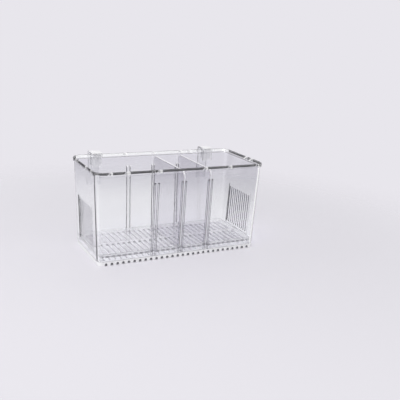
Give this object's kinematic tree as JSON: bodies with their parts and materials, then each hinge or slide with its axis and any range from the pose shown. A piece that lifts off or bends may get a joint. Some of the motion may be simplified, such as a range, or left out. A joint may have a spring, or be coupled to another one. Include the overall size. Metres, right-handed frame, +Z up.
{
  "type": "fish breeding box",
  "caption": "Clear plastic fish breeding box with slotted floor and end panels, lift-out grate and dividers, and hooks that hang it inside an aquarium wall.",
  "frame": {"origin": "centre of the underside of the tank's foot", "axes": "+X to the right along the length, +Y to the back, where the hooks are, +Z up"},
  "size_m": [0.2, 0.1025, 0.1041],
  "materials": {
    "clear_polystyrene_tank": "moulded, clear, glossy",
    "clear_polystyrene_grate": "moulded, clear, glossy",
    "clear_polystyrene_divider": "moulded, clear, glossy",
    "clear_polystyrene_hook": "moulded, clear, glossy"
  },
  "bodies": {
    "tank": {"tank": "clear_polystyrene_tank"},
    "grate": {"grate": "clear_polystyrene_grate"},
    "middle_divider": {"middle_divider": "clear_polystyrene_divider"},
    "right_divider": {"right_divider": "clear_polystyrene_divider"},
    "left_hook": {"left_hook": "clear_polystyrene_hook"},
    "right_hook": {"right_hook": "clear_polystyrene_hook"}
  },
  "joints": [
    {"name": "grate_lift", "type": "slide", "parent": "tank", "child": "grate", "axis": [0, 0, 1], "range_m": [0, 0.105]},
    {"name": "middle_divider_lift", "type": "slide", "parent": "grate", "child": "middle_divider", "axis": [0, 0, 1], "range_m": [0, 0.1]},
    {"name": "right_divider_lift", "type": "slide", "parent": "grate", "child": "right_divider", "axis": [0, 0, 1], "range_m": [0, 0.1]},
    {"name": "left_hook_lift", "type": "slide", "parent": "tank", "child": "left_hook", "axis": [0, 0, 1], "range_m": [0, 0.045]},
    {"name": "right_hook_lift", "type": "slide", "parent": "tank", "child": "right_hook", "axis": [0, 0, 1], "range_m": [0, 0.045]}
  ]
}
